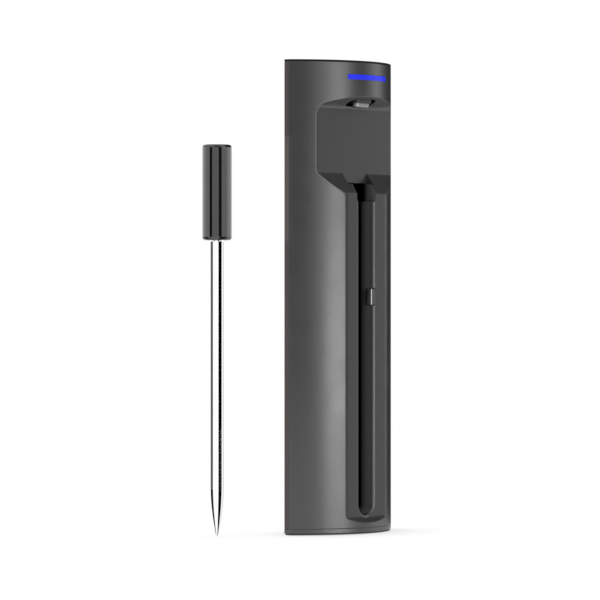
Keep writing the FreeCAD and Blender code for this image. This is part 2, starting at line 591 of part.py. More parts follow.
def make_handle():
    """The ceramic handle, closed by a bush round the stem and by the contact in its end."""
    rim = "handle_radius - sleeve_wall"
    neck = "stem_radius + bush_thick"
    step_low = f"{HANDLE_LOW} + 1.4"
    step_high = "probe_length - 1.4"
    sleeve_points = [
        (neck, HANDLE_LOW), ("handle_radius", HANDLE_LOW), ("handle_radius", "probe_length"),
        ("button_radius + 0.05", "probe_length"), ("button_radius + 0.05", step_high),
        (rim, step_high), (rim, step_low), (neck, step_low)]
    blank = revolve("sleeve_blank", outline("sleeve_outline", "XZ", sleeve_points))
    reach = value("handle_radius")
    axis = Vector(value("probe_x"), value("probe_y"), 0)

    def on_rim(ends):
        level = abs(ends[0].z - ends[-1].z) < 1e-6
        radii = [Vector(end.x, end.y, 0).distanceToPoint(axis) for end in ends]
        return level and all(abs(radius - reach) < 1e-6 for radius in radii)

    node(rounded("sleeve", blank, "1.1", on_rim), "handle_sleeve")
    bush_points = [("stem_radius", HANDLE_LOW), (neck, HANDLE_LOW), (neck, step_low), (rim, step_low),
                   (rim, f"{HANDLE_LOW} + 4"), ("stem_radius", f"{HANDLE_LOW} + 4")]
    node(revolve("bush", outline("bush_outline", "XZ", bush_points)), "stem_bush")
    face = cylinder("button_face", "button_radius", *PROBE_SPOT, ("probe_length - 1.5", "probe_length - 0.1"))
    flange = cylinder("button_flange", f"{rim} - 0.15", *PROBE_SPOT, ("probe_length - 2.2", step_high))
    node(fuse("button", face, flange), "handle_end_contact")


def make_probe_electronics():
    """What the handle holds: board, power cell, radio chip, ambient sensor and antenna coil."""
    plate = box("probe_board_plate", ("probe_x - 2.6", "probe_x + 2.6"),
                ("probe_y - 0.4", "probe_y + 0.4"), (f"{HANDLE_LOW} + 5.5", f"{HANDLE_LOW} + 25"))
    node(plate, "probe_board")
    cell = cylinder("probe_cell", "1.4", "probe_x", "probe_y + 1.85",
                    (f"{HANDLE_LOW} + 8", f"{HANDLE_LOW} + 22"))
    node(cell, "probe_power_cell")
    radio = box("probe_radio", ("probe_x - 1.9", "probe_x + 1.9"), ("probe_y - 1.5", "probe_y - 0.4"),
                (f"{HANDLE_LOW} + 12", f"{HANDLE_LOW} + 17"))
    node(radio, "probe_radio_chip")
    ambient = box("ambient_bead", ("probe_x - 0.8", "probe_x + 0.8"), ("probe_y - 0.5", "probe_y + 0.5"),
                  (f"{HANDLE_LOW} + 25", f"{HANDLE_LOW} + 27"))
    node(ambient, "ambient_sensor")
    rings = []
    for number in range(4):
        height = f"{HANDLE_LOW} + 25.6 + 0.8 * {number}"
        rings.append(torus(f"coil_ring_{number}", "3.1", "0.3", *PROBE_SPOT, height))
    node(group("coil", rings), "antenna_coil")


make_housing()
make_covers()
make_light()
make_socket_contact()
make_stem_contact()
make_electronics()
make_port()
make_stem()
make_handle()
make_probe_electronics()
doc.recompute()

for obj in doc.Objects:
    if "Invalid" in obj.State or "Error" in obj.State:
        raise RuntimeError(f"{obj.Name} failed: {obj.State}")
os.makedirs("parts", exist_ok=True)
for obj in NODES:
    if obj.Shape.isNull() or not obj.Shape.isValid() or obj.Shape.Volume <= 0:
        raise RuntimeError(f"{obj.Label} has no valid solid")
for obj in NODES:
    obj.Shape.exportStep(f"parts/{obj.Label}.step")
    print(f"{obj.Label:28s} {obj.Shape.Volume:10.1f} mm3, {len(obj.Shape.Solids)} solid")
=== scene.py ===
import math

import bmesh
import bpy
import numpy as np
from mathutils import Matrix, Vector


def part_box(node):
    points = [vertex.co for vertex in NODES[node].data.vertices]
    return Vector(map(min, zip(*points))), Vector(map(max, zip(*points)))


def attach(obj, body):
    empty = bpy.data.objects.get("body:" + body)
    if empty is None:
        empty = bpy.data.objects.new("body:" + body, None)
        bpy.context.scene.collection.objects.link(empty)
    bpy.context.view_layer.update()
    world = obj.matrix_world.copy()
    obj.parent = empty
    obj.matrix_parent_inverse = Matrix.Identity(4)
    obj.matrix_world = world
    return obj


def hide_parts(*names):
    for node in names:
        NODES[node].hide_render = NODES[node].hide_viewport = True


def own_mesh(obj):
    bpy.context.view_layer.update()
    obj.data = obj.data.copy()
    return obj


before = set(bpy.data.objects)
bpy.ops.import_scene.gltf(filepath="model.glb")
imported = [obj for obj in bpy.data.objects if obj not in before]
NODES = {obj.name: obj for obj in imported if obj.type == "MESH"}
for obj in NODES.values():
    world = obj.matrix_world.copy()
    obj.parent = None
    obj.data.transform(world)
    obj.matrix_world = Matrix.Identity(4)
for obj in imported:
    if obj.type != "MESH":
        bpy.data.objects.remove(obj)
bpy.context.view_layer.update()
MM = 0.001

housing_low, housing_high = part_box("front_housing")
crown_half = (housing_high.x - housing_low.x) / 2
crown_rise = housing_high.y - housing_low.y
CROWN_RADIUS = (crown_half ** 2 + crown_rise ** 2) / (2 * crown_rise)
CROWN_AXIS = Vector((0, housing_low.y + CROWN_RADIUS, 0))

# The camera stands front left of the case, at half its height, a long way off.
VIEW_YAW = math.radians(51.66)
VIEW_DISTANCE = 1.368
VIEW_HEIGHT = 0.077
VIEW_SIDE = 0.00237                  # how far it stands to the right of the dome's axis
SENSOR = 36.0
VIEW_WIDTH = 0.2043                  # width in view at the dome's axis
HORIZON_SHIFT = 3.5 / 600            # how far the picture's middle lies above the horizon
AWAY = Vector((math.sin(VIEW_YAW), math.cos(VIEW_YAW), 0))
RIGHT = Vector((math.cos(VIEW_YAW), -math.sin(VIEW_YAW), 0))


# ---------------------------------------------------------------- node materials

class Shader:
    """A material under construction: a Principled shader and helpers that feed it."""

    def __init__(self, name, **settings):
        self.material = bpy.data.materials.new(name)
        self.material.use_nodes = True
        self.tree = self.material.node_tree
        self.main = self.tree.nodes["Principled BSDF"]
        for key, value in settings.items():
            self.main.inputs[key.replace("_", " ")].default_value = value

    def add(self, kind, **settings):
        node = self.tree.nodes.new(kind)
        for key, value in settings.items():
            if hasattr(node, key):
                setattr(node, key, value)
            else:
                node.inputs[key.replace("_", " ")].default_value = value
        return node

    def link(self, source, target):
        self.tree.links.new(source, target)

    def place(self, scale=(1, 1, 1)):
        """Object coordinates, stretched by scale."""
        coordinates = self.add("ShaderNodeTexCoord")
        mapping = self.add("ShaderNodeMapping")
        mapping.inputs["Scale"].default_value = scale
        self.link(coordinates.outputs["Object"], mapping.inputs["Vector"])
        return mapping.outputs["Vector"]

    def noise(self, size, detail=3.0, stretch=(1, 1, 1), rough=0.55):
        """Noise whose grains are about size metres across."""
        texture = self.add("ShaderNodeTexNoise", Scale=1 / size, Detail=detail, Roughness=rough)
        self.link(self.place(stretch), texture.inputs["Vector"])
        return texture.outputs["Fac"]

    def ramp(self, value, stops):
        """Colours along value. stops holds (place, grey or colour) pairs."""
        ramp = self.add("ShaderNodeValToRGB")
        elements = ramp.color_ramp.elements
        while len(elements) < len(stops):
            elements.new(0.5)
        for element, (position, colour) in zip(elements, stops):
            element.position = position
            element.color = (*colour, 1) if isinstance(colour, tuple) else (colour, colour, colour, 1)
        self.link(value, ramp.inputs["Fac"])
        return ramp.outputs["Color"]

    def spread(self, value, low, high, start=0.3, end=0.7):
        """value between start and end, mapped to low and high."""
        node = self.add("ShaderNodeMapRange")
        for key, number in (("From Min", start), ("From Max", end), ("To Min", low), ("To Max", high)):
            node.inputs[key].default_value = number
        self.link(value, node.inputs["Value"])
        return node.outputs["Result"]

    def colour(self, value, stops):
        self.link(self.ramp(value, stops), self.main.inputs["Base Color"])

    def rough(self, value, low, high):
        self.link(self.spread(value, low, high), self.main.inputs["Roughness"])

    def bump(self, value, depth, strength=1.0):
        """Relief of depth metres."""
        node = self.add("ShaderNodeBump", Strength=strength, Distance=depth)
        self.link(value, node.inputs["Height"])
        self.link(node.outputs["Normal"], self.main.inputs["Normal"])


def satin_shell():
    """Dark metallic paint: fine flakes in a satin coat."""
    shader = Shader("satin_shell", Metallic=0.75, Specular_IOR_Level=0.3)
    flakes = shader.noise(0.12 * MM, detail=1.5, rough=0.4)
    shader.colour(flakes, [(0.30, (0.076, 0.076, 0.076)), (0.52, (0.091, 0.091, 0.091)),
                           (0.72, (0.116, 0.115, 0.115))])
    shader.rough(shader.noise(9 * MM), 0.30, 0.36)
    shader.bump(flakes, 0.004 * MM, 0.25)
    return shader.material


def matte_recess():
    """Moulded plastic of the recess, a little less dark than the ledges, whose darkness is painted shade."""
    shader = Shader("matte_recess", Metallic=0.0, Specular_IOR_Level=0.43)
    grain = shader.noise(0.15 * MM, detail=2.0)
    shader.colour(grain, [(0.3, (0.014, 0.014, 0.015)), (0.7, (0.025, 0.025, 0.026))])
    shader.rough(shader.noise(5 * MM), 0.36, 0.42)
    shader.bump(grain, 0.006 * MM, 0.5)
    return shader.material


def groove_painted_shade():
    """Moulded like the recess, with painted shade: darker and less glossy the deeper it lies."""
    shader = Shader("groove_painted_shade", Metallic=0.0)
    split = shader.add("ShaderNodeSeparateXYZ")
    shader.link(shader.place(), split.inputs["Vector"])
    shallow, deep = -5.4 * MM, -2.2 * MM
    depth = shader.spread(split.outputs["Y"], 0.0, 1.0, shallow, deep)
    grain = shader.noise(0.15 * MM, detail=2.0)
    mixed = shader.add("ShaderNodeMath", operation="MULTIPLY_ADD")
    shader.link(grain, mixed.inputs[0])
    mixed.inputs[1].default_value = 0.08
    shader.link(depth, mixed.inputs[2])
    # Painted shade: the colour runs from dark grey near the land to black at the groove's deepest part.
    shader.colour(mixed.outputs["Value"], [(0.04, (0.080, 0.080, 0.081)), (0.3, (0.046, 0.046, 0.047)),
                                           (0.7, (0.026, 0.026, 0.027)), (1.0, 0.0)])
    shader.link(shader.spread(depth, 0.14, 0.0, 0.3, 0.95), shader.main.inputs["Specular IOR Level"])
    shader.rough(shader.noise(5 * MM), 0.45, 0.55)
    shader.bump(grain, 0.006 * MM, 0.5)
    return shader.material


def moulded(name, low, high, rough=(0.4, 0.5), grain=0.2 * MM, **settings):
    """Moulded plastic or rubber: a fine grain between two colours."""
    shader = Shader(name, **settings)
    texture = shader.noise(grain, detail=3.0)
    shader.colour(texture, [(0.3, low), (0.7, high)])
    shader.rough(shader.noise(grain * 20), *rough)
    shader.bump(texture, grain * 0.03, 0.5)
    return shader.material


def metal(name, low, high, rough=(0.1, 0.2), stretch=(1, 1, 0.02), grain=0.05 * MM, **settings):
    """Drawn or turned metal: hairlines along stretch."""
    shader = Shader(name, Metallic=1.0, **settings)
    lines = shader.noise(grain, detail=2.0, stretch=stretch)
    shader.colour(lines, [(0.3, low), (0.7, high)])
    shader.rough(lines, *rough)
    return shader.material


def light_bar():
    """Clear plastic lit from behind in blue."""
    shader = Shader("lit_bar", Roughness=0.35, Specular_IOR_Level=0.15, Emission_Strength=1.0)
    cloud = shader.noise(3 * MM)
    shader.colour(cloud, [(0.3, (0.004, 0.005, 0.10)), (0.7, (0.006, 0.008, 0.14))])
    glow = shader.ramp(cloud, [(0.3, (0.010, 0.018, 0.62)), (0.7, (0.016, 0.026, 0.70))])
    shader.link(glow, shader.main.inputs["Emission Color"])
    return shader.material


MATERIALS = {
    "shell": satin_shell(),
    "recess": matte_recess(),
    # Painted light: a lighter, glossier copy of the recess plastic, for the ceiling faces that slope down.
    "ceiling": moulded("lit_ceiling", (0.034, 0.034, 0.035), (0.050, 0.050, 0.051), (0.30, 0.36),
                       Specular_IOR_Level=0.5),
    # Painted shade: a darker, less glossy copy of the recess plastic, for the faces that slope up.
    "ledge": moulded("ledge_painted_shade", (0.011, 0.011, 0.012), (0.019, 0.019, 0.020), Specular_IOR_Level=0.2),
    "cover": moulded("moulded_cover", (0.034, 0.022, 0.021), (0.048, 0.032, 0.030)),
    "groove": groove_painted_shade(),
    # Painted shade: near-black with almost no gloss, on the faces of the contact's shallow well, standing for
    # a dark hole.
    "socket": moulded("well_painted_shade", (0.0010, 0.0010, 0.0010), (0.0025, 0.0025, 0.0025), (0.7, 0.9),
                      Specular_IOR_Level=0.05),
    "rubber": moulded("soft_rubber", (0.012, 0.012, 0.012), (0.022, 0.022, 0.022), (0.6, 0.75)),
    "cap": moulded("black_cap", (0.003, 0.003, 0.003), (0.008, 0.008, 0.008), (0.45, 0.55),
                   Specular_IOR_Level=0.12),
    "board": moulded("board_laminate", (0.010, 0.045, 0.022), (0.018, 0.070, 0.034), (0.3, 0.4)),
    "insulator": moulded("insulator_black", (0.006, 0.006, 0.006), (0.014, 0.014, 0.014), (0.4, 0.5)),
    "chip": moulded("chip_epoxy", (0.010, 0.010, 0.011), (0.020, 0.020, 0.021), (0.4, 0.55)),
    "ceramic_chip": moulded("chip_ceramic", (0.55, 0.52, 0.46), (0.66, 0.62, 0.55), (0.4, 0.5)),
    "flex": moulded("flex_film", (0.32, 0.13, 0.02), (0.42, 0.18, 0.03), (0.25, 0.35)),
    "tape": moulded("foam_tape", (0.03, 0.03, 0.03), (0.06, 0.06, 0.06), (0.8, 0.9)),
    "wire": moulded("wire_sleeve", (0.30, 0.01, 0.01), (0.42, 0.02, 0.02), (0.35, 0.45)),
    "lamp": moulded("lamp_body", (0.60, 0.60, 0.55), (0.75, 0.75, 0.70), (0.25, 0.35)),
    "bush": moulded("sealing_bush", (0.006, 0.006, 0.006), (0.013, 0.013, 0.013), (0.35, 0.5)),
    "ceramic": moulded("glazed_ceramic", (0.006, 0.006, 0.006), (0.010, 0.010, 0.011), (0.04, 0.07), IOR=1.8),
    "steel": metal("polished_steel", (0.80, 0.80, 0.80), (0.90, 0.90, 0.90), (0.03, 0.06)),
    "screw": metal("screw_steel", (0.40, 0.40, 0.41), (0.60, 0.60, 0.61), (0.25, 0.35)),
    "shield": metal("tinned_shield", (0.62, 0.62, 0.60), (0.74, 0.74, 0.72), (0.2, 0.35)),
    "nickel": metal("nickel_contact", (0.70, 0.68, 0.64), (0.85, 0.83, 0.79), (0.12, 0.22)),
    "leaf": metal("bright_leaf", (0.90, 0.89, 0.87), (0.97, 0.96, 0.94), (0.30, 0.40)),
    # Dark metal in a few large blotches of darker and lighter reflectance.
    "pin": metal("blotchy_contact", (0.16, 0.155, 0.15), (0.42, 0.41, 0.40), (0.25, 0.40), stretch=(1, 1, 1),
                 grain=0.6 * MM),
    "spring": metal("spring_steel", (0.45, 0.45, 0.46), (0.65, 0.65, 0.66), (0.2, 0.3)),
    "magnet": metal("magnet_plating", (0.60, 0.60, 0.60), (0.75, 0.75, 0.75), (0.2, 0.3)),
    "foil": metal("cell_foil", (0.65, 0.65, 0.66), (0.80, 0.80, 0.81), (0.3, 0.45)),
    "copper": metal("copper_wire", (0.70, 0.32, 0.18), (0.85, 0.42, 0.26), (0.2, 0.3)),
    "light": light_bar(),
}

# The finish of every CAD node.
FINISHES = {
    "back_cover": "cover", "back_grip_pad": "rubber", "top_end_cap": "cap", "bottom_end_cap": "shell",
    "base_foot_pad": "rubber", "led_light_bar": "light", "led_board": "board", "led_lamps": "lamp",
    "led_flex_cable": "flex", "socket_contact_holder": "insulator", "socket_springs": "spring",
    "stem_contact_holder": "insulator", "main_board": "board", "radio_module": "shield",
    "radio_antenna": "ceramic_chip", "board_chips": "chip", "board_screws": "screw",
    "cover_screws": "screw", "back_magnets": "magnet", "battery_cell": "foil", "battery_tape": "tape",
    "battery_leads": "wire", "battery_plug": "lamp", "usb_c_shell": "shield", "usb_c_tongue": "insulator",
    "usb_c_board": "board", "socket_plunger": "pin", "stem_contact": "leaf", "probe_tip": "steel",
    "probe_stem": "steel", "handle_sleeve": "ceramic", "stem_bush": "bush", "handle_end_contact": "nickel",
    "probe_board": "board", "probe_power_cell": "foil", "probe_radio_chip": "chip",
    "ambient_sensor": "chip", "antenna_coil": "copper", "food_sensor": "chip", "sensor_ribbon": "flex",
    "front_housing": "shell",
}


def finish_nodes():
    """Give every CAD node its finish, in each of its material slots."""
    for name, finish in FINISHES.items():
        node = NODES[name]
        for index in range(max(1, len(node.material_slots))):
            if index < len(node.material_slots):
                node.material_slots[index].material = MATERIALS[finish]
            else:
                node.data.materials.append(MATERIALS[finish])


# ---------------------------------------------------------------- pieces

SHARP_ANGLE = 35                     # degrees from which a copied shape's edge counts as sharp
SOFT_SEGMENTS = 3


def add_piece(name, mesh, body, slot_name, *nodes):
    """Put a mesh in the scene as a piece that stands for CAD nodes."""
    obj = bpy.data.objects.new(name, mesh)
    bpy.context.collection.objects.link(obj)
    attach(obj, body)
    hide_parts(*nodes)
    return obj


def smooth_by_angle(mesh, degrees):
    mesh.shade_smooth()
    mesh.set_sharp_from_angle(angle=math.radians(degrees))


def clean_copy(name, node, finish):
    """A copy of the node's mesh with shared vertices and its flat faces joined, in one finish."""
    work = bmesh.new()
    work.from_mesh(NODES[node].data)
    bmesh.ops.remove_doubles(work, verts=work.verts, dist=0.002 * MM)
    bmesh.ops.dissolve_limit(work, angle_limit=math.radians(0.3), verts=work.verts, edges=work.edges,
                             use_dissolve_boundaries=False)
    mesh = bpy.data.meshes.new(name)
    work.to_mesh(mesh)
    work.free()
    mesh.materials.clear()
    mesh.materials.append(MATERIALS[finish])
    smooth_by_angle(mesh, SHARP_ANGLE)
    return mesh


def refined(name, node, slot_name, finish, width):
    """A piece of the case made from a CAD node's shape, with its sharp edges rounded over width."""
    piece = add_piece(name, clean_copy(name, node, finish), "case", slot_name, node)
    bevel = piece.modifiers.new("soft_edges", "BEVEL")
    bevel.width = width
    bevel.segments = SOFT_SEGMENTS
    bevel.limit_method = "ANGLE"
    bevel.angle_limit = math.radians(SHARP_ANGLE)
    bevel.use_clamp_overlap = False
    bevel.miter_outer = "MITER_ARC"
    bevel.harden_normals = True


# Sizes of the housing in millimetres, as the CAD model has them. Depths are y values.
WALL = 1.4
POCKET_FLOOR = -0.9
LAND = -6.0                          # the channel's flat floor
RAMP_HIGH = 120.8                    # the ramp runs from the pocket's floor down to the land
RAMP_LOW = 113.9
CEILING = 143.1                      # height of the pocket's sloped ceiling where it meets the floor
CEILING_SLOPE = math.radians(25)
CORNER = Vector((12.6, 138.5))       # centre of the pocket's upper rounded corner
CORNER_RADIUS = 8.0
CHANNEL_LOW = 5.4
CHANNEL_CORNER = Vector((7.5, 6.8))  # centre of the channel's lower rounded corner
CHANNEL_CORNER_RADIUS = 3.6
GROOVE_RADIUS = 3.95
GROOVE_LOW = 6.0
RIM_ROUND = 1.0
SEAT_RADIUS = 5.05                   # the groove is wider here, for the handle's end
SEAT_LOW = 111.4
SEAT_HIGH = 121.5
NOTCH_HALF = 6.7                     # notch in the ledge above the seat
NOTCH_LOW = 117.4
NOTCH_HIGH = RAMP_HIGH + 3
CHANNEL_HIGH = RAMP_HIGH - 8         # the channel's side walls end here, hidden in the ramp
WELL_Y = -3.4                        # middle of the plunger's well in the ceiling
WELL_HALF = 6.5
WELL_RADIUS = 2.5
WINDOW = (3.2, 4.75)                 # the leaf's window in the groove's wall, from and to x
WINDOW_FLOOR = -2.6
WINDOW_GAP = 0.3
BAR_GAP = 0.06
BAR_SLOT = 1.0                       # depth of the light bar's slot
END_ROUND = 0.15                     # rounding of the dome's two ends, in depth and in height
END_ROUND_HEIGHT = 0.2
LEAST_WALL = 0.4
POST_RADIUS = 2.2
POST_BORE = 0.83
POST_SINK = 0.3                      # how far a post's root lies inside the wall
BOARD_FRONT = 0.8
COVER_POSTS = [(x, z) for x in (-18.5, 18.5) for z in (11.0, 148.5)]
BOARD_POSTS = [(x, z) for x in (-16.0, 16.0) for z in (66.0, 109.0)]

# Over these widths the faces of the recess run into each other.
RAMP_FOOT_BLEND = 0.35
RAMP_HEAD_BLEND = 0.5
CEILING_BLEND = 2.2
CORNER_BLEND = 1.2
SILL_BLEND = 0.6
CHANNEL_CORNER_BLEND = 0.8
CROWN_BLEND = 0.4
SEAT_BLEND = 0.1
NOTCH_BLEND = 0.15
SEAT_STEP = 0.35

STEEP = 9.0                          # rise of a wall that stands almost square to the front
NO_CUT = LAND - 20                   # a depth in front of everything, where an opening is absent
NO_WALL = -10                        # a distance well inside the channel's side walls
BAR_STEP = 0.02                      # width of a wall that the grid crosses, at the bar and the window
WINDOW_STEP = 0.05
END_ZONE = 0.3                       # height of the fine rows at both ends of the grid
SUNK = 0.12                          # faces this far behind the dome belong to the recess
SUNK_EDGE = 0.25                     # but not this close to the dome's ends
RIM_WIDTH = 0.4                      # the groove's rim reaches this far into the groove
LEDGE_SLOPES = (0.4, 2)
CEILING_FACES = -0.3                 # slopes below this face down
HOUSING_SHARP = 50
TURNED_SHARP = 40
HOUSING_FINISHES = ("shell", "recess", "ledge", "ceiling", "groove", "socket")


def smooth_max(a, b, width):
    """The larger of a and b, blended where they differ by less than width."""
    blend = np.maximum(width - np.abs(a - b), 0) / width
    return np.maximum(a, b) + blend ** 2 * width / 4


def smooth_min(a, b, width):
    return -smooth_max(-a, -b, width)


def groove_depth(from_middle, skin):
    """Depth of the round-bottomed groove and its rounded rim, by distance from its middle."""
    wide = GROOVE_RADIUS + skin
    round_centre = math.sqrt((wide + RIM_ROUND) ** 2 - RIM_ROUND ** 2)
    tangent = wide * round_centre / (wide + RIM_ROUND)
    bowl = LAND + np.sqrt(np.maximum(wide ** 2 - np.minimum(from_middle, tangent) ** 2, 0))
    if skin:
        rim = np.full_like(from_middle, LAND)
    else:
        off = np.clip(from_middle - round_centre, -RIM_ROUND, 0)
        rim = LAND + RIM_ROUND - np.sqrt(np.maximum(RIM_ROUND ** 2 - off ** 2, 0))
    return np.where(from_middle < tangent, bowl, np.where(from_middle < round_centre, rim, NO_CUT))


def seat_depth(wide, z, skin):
    """Depth of the wider stretch of the groove, which lets the handle's end through."""
    grown = np.clip((z - SEAT_LOW + skin) / SEAT_STEP + 0.5, 0, 1)
    radius = GROOVE_RADIUS + (SEAT_RADIUS - GROOVE_RADIUS) * grown
    inside = np.maximum((radius + skin) ** 2 - wide ** 2, 0)
    return np.where((inside > 0) & (z < SEAT_HIGH) & (grown > 0), LAND + np.sqrt(inside), NO_CUT)


def notch_depth(wide, z, skin):
    """Depth of the notch that the ledge has above the seat."""
    depth = POCKET_FLOOR + skin - STEEP * np.maximum(wide - NOTCH_HALF - skin, 0)
    depth = depth - STEEP * np.maximum(NOTCH_LOW - skin - z, 0)
    return np.where(z < NOTCH_HIGH, depth, NO_CUT)


def below_groove(z):
    """How far z lies below the centre of the groove's round foot."""
    return np.maximum(GROOVE_LOW + GROOVE_RADIUS - z, 0)


def front_depth(x, z, skin=0.0):
    """y of the housing's front at x and z, or of its inner face for a skin as thick as the wall."""
    wide = np.abs(x)
    floor = np.full_like(x, POCKET_FLOOR + skin)
    ceiling = POCKET_FLOOR - (z - CEILING - skin / math.cos(CEILING_SLOPE)) / math.tan(CEILING_SLOPE)
    fall = (POCKET_FLOOR - LAND) / (RAMP_HIGH - RAMP_LOW)
    ramp = POCKET_FLOOR - (RAMP_HIGH - z) * fall + skin * math.hypot(1, fall)
    sill = LAND - (CHANNEL_LOW - z) + skin * math.sqrt(2)
    land = np.full_like(x, LAND + skin)
    corner = np.hypot(np.maximum(wide - CORNER.x, 0), np.maximum(z - CORNER.y, 0)) - CORNER_RADIUS - skin
    side = np.hypot(np.maximum(wide - CHANNEL_CORNER.x, 0), np.maximum(CHANNEL_CORNER.y - z, 0))
    side = np.where(z > CHANNEL_HIGH, NO_WALL, side - CHANNEL_CORNER_RADIUS - skin)
    depth = smooth_min(floor, smooth_max(land, ramp, RAMP_FOOT_BLEND), RAMP_HEAD_BLEND)
    depth = smooth_min(depth, ceiling, CEILING_BLEND)
    depth = smooth_min(depth, floor - STEEP * corner, CORNER_BLEND)
    depth = smooth_min(depth, sill, SILL_BLEND)
    depth = smooth_min(depth, land - STEEP * side, CHANNEL_CORNER_BLEND)
    crown = CROWN_AXIS.y / MM - np.sqrt((CROWN_RADIUS / MM - skin) ** 2 - wide ** 2)
    depth = smooth_max(crown, depth, CROWN_BLEND)
    groove = groove_depth(np.hypot(wide, below_groove(z)), skin)
    depth = np.maximum(depth, np.where(z < SEAT_HIGH, groove, NO_CUT))
    depth = smooth_max(depth, seat_depth(wide, z, skin), SEAT_BLEND)
    return smooth_max(depth, notch_depth(wide, z, skin), NOTCH_BLEND)


def well_mask(x, z):
    """True where the contact's well opens through the pocket's sloped ceiling."""
    y = POCKET_FLOOR - (z - CEILING) / math.tan(CEILING_SLOPE)
    beyond = np.maximum(np.abs(x) - (WELL_HALF - WELL_RADIUS), 0)
    return (np.hypot(beyond, y - WELL_Y) < WELL_RADIUS) & (z > CEILING)


def lines(*stretches):
    """Grid lines through stretches of (start, end, step)."""
    out = []
    for start, end, step in stretches:
        count = max(1, round((end - start) / step))
        out += [start + (end - start) * number / count for number in range(count)]
    out.append(stretches[-1][1])
    return np.array(sorted(set(round(value, 4) for value in out)))


def grid_faces(rows, columns, start, flip):
    """Quads of a grid whose vertices begin at start. flip turns them over."""
    faces = []
    for row in range(rows - 1):
        for column in range(columns - 1):
            a = start + row * columns + column
            quad = (a, a + 1, a + columns + 1, a + columns)
            faces.append(quad[::-1] if flip else quad)
    return faces


def rim_faces(rows, columns):
    """Quads that join two sheets of the same grid round their edge."""
    shift = rows * columns
    strips = [(row * columns + column, columns, flip) for row in range(rows - 1)
              for column, flip in ((0, False), (columns - 1, True))]
    strips += [(row * columns + column, 1, flip) for column in range(columns - 1)
               for row, flip in ((0, True), (rows - 1, False))]
    faces = []
    for a, step, flip in strips:
        quad = (a, a + step, a + step + shift, a + shift)
        faces.append(quad[::-1] if flip else quad)
    return faces


def housing_kinds(x, z, outer, well, edge):
    """For each face of the outer sheet, the place of its finish in HOUSING_FINISHES."""
    crown = CROWN_AXIS.y / MM - np.sqrt((CROWN_RADIUS / MM) ** 2 - x ** 2)
    sunk = ((outer - crown) > SUNK) & (edge > SUNK_EDGE)
    from_middle = np.hypot(x, below_groove(z))
    in_groove = (from_middle < GROOVE_RADIUS - 0.02) & (outer > LAND + 0.7) & (z < NOTCH_LOW)
    in_groove |= (np.abs(x) < SEAT_RADIUS) & (outer > LAND + 0.5) & (z > SEAT_LOW) & (z < NOTCH_LOW)
    slope = np.gradient(outer, axis=0) / np.gradient(z, axis=0)
    # Faces that slope up get the ledge finish, whose darkness is painted shade.
    facing_up = sunk & (slope > LEDGE_SLOPES[0]) & (slope < LEDGE_SLOPES[1])
    facing_up &= (z < CHANNEL_LOW + 0.5) | (z > RAMP_LOW - 0.5)
    # Faces that slope down under the ceiling get the ceiling finish, whose brightness is painted light.
    facing_down = sunk & (slope < CEILING_FACES) & (z > CEILING - 2)
    on_rim = (from_middle > GROOVE_RADIUS - RIM_WIDTH) & (from_middle < GROOVE_RADIUS + RIM_ROUND)
    on_rim &= z < SEAT_LOW
    places = {"shell": on_rim, "socket": well, "groove": in_groove, "ceiling": facing_down,
              "ledge": facing_up, "recess": sunk}
    kinds = np.select(list(places.values()), [HOUSING_FINISHES.index(name) for name in places],
                      HOUSING_FINISHES.index("shell"))
    corners = np.stack([kinds[:-1, :-1], kinds[:-1, 1:], kinds[1:, :-1], kinds[1:, 1:]])
    return np.where(on_rim[:-1, :-1], corners.min(axis=0), corners.max(axis=0))


